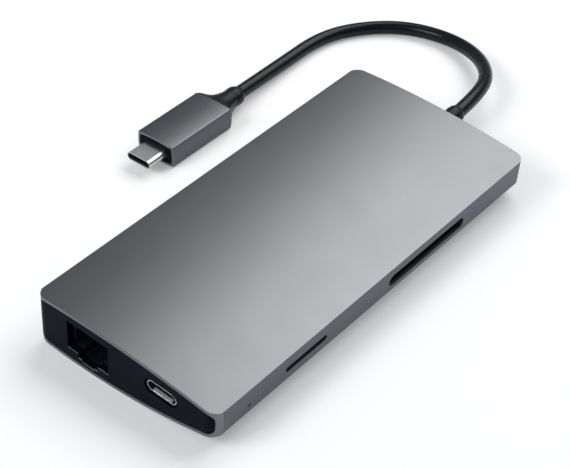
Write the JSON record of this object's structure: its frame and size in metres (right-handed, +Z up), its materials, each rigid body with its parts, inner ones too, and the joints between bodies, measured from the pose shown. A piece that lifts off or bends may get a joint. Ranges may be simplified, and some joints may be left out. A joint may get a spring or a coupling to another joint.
{
  "type": "laptop docking station",
  "caption": "Slim wedge-section laptop docking station: aluminium sleeve, moulded end caps, edge sockets and card slots, and a short captive cord with a reversible plug.",
  "frame": {"origin": "on the resting surface, under the centre of the housing's bounding box, without the cord, its boots and its plug", "axes": "+Z up, +Y along the housing towards the end that the cord leaves, +X towards the thin side with the card slots"},
  "size_m": [0.0902, 0.1664, 0.0157],
  "materials": {
    "sleeve_alu": "fine bead-blasted, space-grey anodised",
    "cap_plastic": "satin blue-black moulding",
    "inner_plastic": "black moulding",
    "tray_plastic": "dark grey moulding",
    "board_laminate": "solder-masked glass laminate",
    "screw_steel": "zinc-plated",
    "socket_steel": "nickel-plated sheet",
    "contact_brass": "gold-flashed",
    "chip_resin": "moulded resin",
    "ferrite": "pressed ferrite",
    "ceramic": "fired ceramic",
    "crystal_can": "satin",
    "pad_silicone": "soft gap pad",
    "spreader_copper": "rolled copper",
    "clear_plastic": "clear moulding",
    "cord_jacket": "satin black jacket",
    "boot_elastomer": "satin black over-moulding",
    "plug_nickel": "satin nickel",
    "wire_insulation": "coloured wire insulation"
  },
  "bodies": {
    "station": {"shell_sleeve": "sleeve_alu", "front_end_cap": "cap_plastic", "rear_end_cap": "cap_plastic", "board_tray": "tray_plastic", "board_screws": "screw_steel", "main_board": "board_laminate", "network_jack_shield": "socket_steel", "network_jack_body": "inner_plastic", "power_inlet_shell": "socket_steel", "power_inlet_tongue": "inner_plastic", "power_inlet_contacts": "contact_brass", "video_socket_shell": "socket_steel", "video_socket_insert": "inner_plastic", "type_a_contacts": "contact_brass", "card_socket_base": "inner_plastic", "card_socket_cover": "socket_steel", "card_socket_contacts": "contact_brass", "micro_socket_base": "inner_plastic", "micro_socket_cover": "socket_steel", "micro_socket_contacts": "contact_brass", "hub_controller": "chip_resin", "video_converter": "chip_resin", "network_controller": "chip_resin", "power_controller": "chip_resin", "card_reader_chip": "chip_resin", "network_transformer": "chip_resin", "power_inductors": "ferrite", "capacitors": "ceramic", "crystals": "crystal_can", "thermal_pads": "pad_silicone", "heat_spreader": "spreader_copper", "status_led": "clear_plastic", "light_pipe": "clear_plastic", "cord_boot": "boot_elastomer", "cord_clamp": "screw_steel", "cord_core": "cord_jacket", "cord_wires": "wire_insulation", "plug_sleeve": "sleeve_alu", "plug_bezel": "cap_plastic", "plug_shell": "plug_nickel", "plug_liner": "inner_plastic", "plug_contacts": "contact_brass", "plug_latches": "plug_nickel", "plug_board": "board_laminate", "plug_boot": "boot_elastomer", "cord": "cord_jacket", "type_a_shell_1": "socket_steel", "type_a_insert_1": "inner_plastic", "type_a_shell_2": "socket_steel", "type_a_insert_2": "inner_plastic", "type_a_shell_3": "socket_steel", "type_a_insert_3": "inner_plastic"},
    "jack_wires": {"network_jack_wires": "contact_brass"},
    "detect_lever": {"card_detect_lever": "contact_brass"},
    "protect_lever": {"write_protect_lever": "contact_brass"},
    "micro_slider": {"micro_socket_slider": "inner_plastic"}
  },
  "joints": [
    {"name": "jack_wires_flex", "type": "hinge", "parent": "station", "child": "jack_wires", "pos_m": [-0.01092, -0.05635, 0.01197], "axis": [0.9976, 0, -0.0698], "range_deg": [0, 8], "stiffness_Nm_per_rad": 0.05},
    {"name": "detect_lever_pivot", "type": "hinge", "parent": "station", "child": "detect_lever", "pos_m": [0.01284, 0.03035, 0.00891], "axis": [-0.0698, 0, -0.9976], "range_deg": [0, 8], "stiffness_Nm_per_rad": 0.008},
    {"name": "protect_lever_pivot", "type": "hinge", "parent": "station", "child": "protect_lever", "pos_m": [0.01284, 0.00465, 0.00891], "axis": [0.0698, 0, 0.9976], "range_deg": [0, 8], "stiffness_Nm_per_rad": 0.008},
    {"name": "micro_slider_slide", "type": "slide", "parent": "station", "child": "micro_slider", "axis": [-0.9976, 0, 0.0698], "range_m": [0, 0.0012], "stiffness_N_per_m": 800}
  ]
}
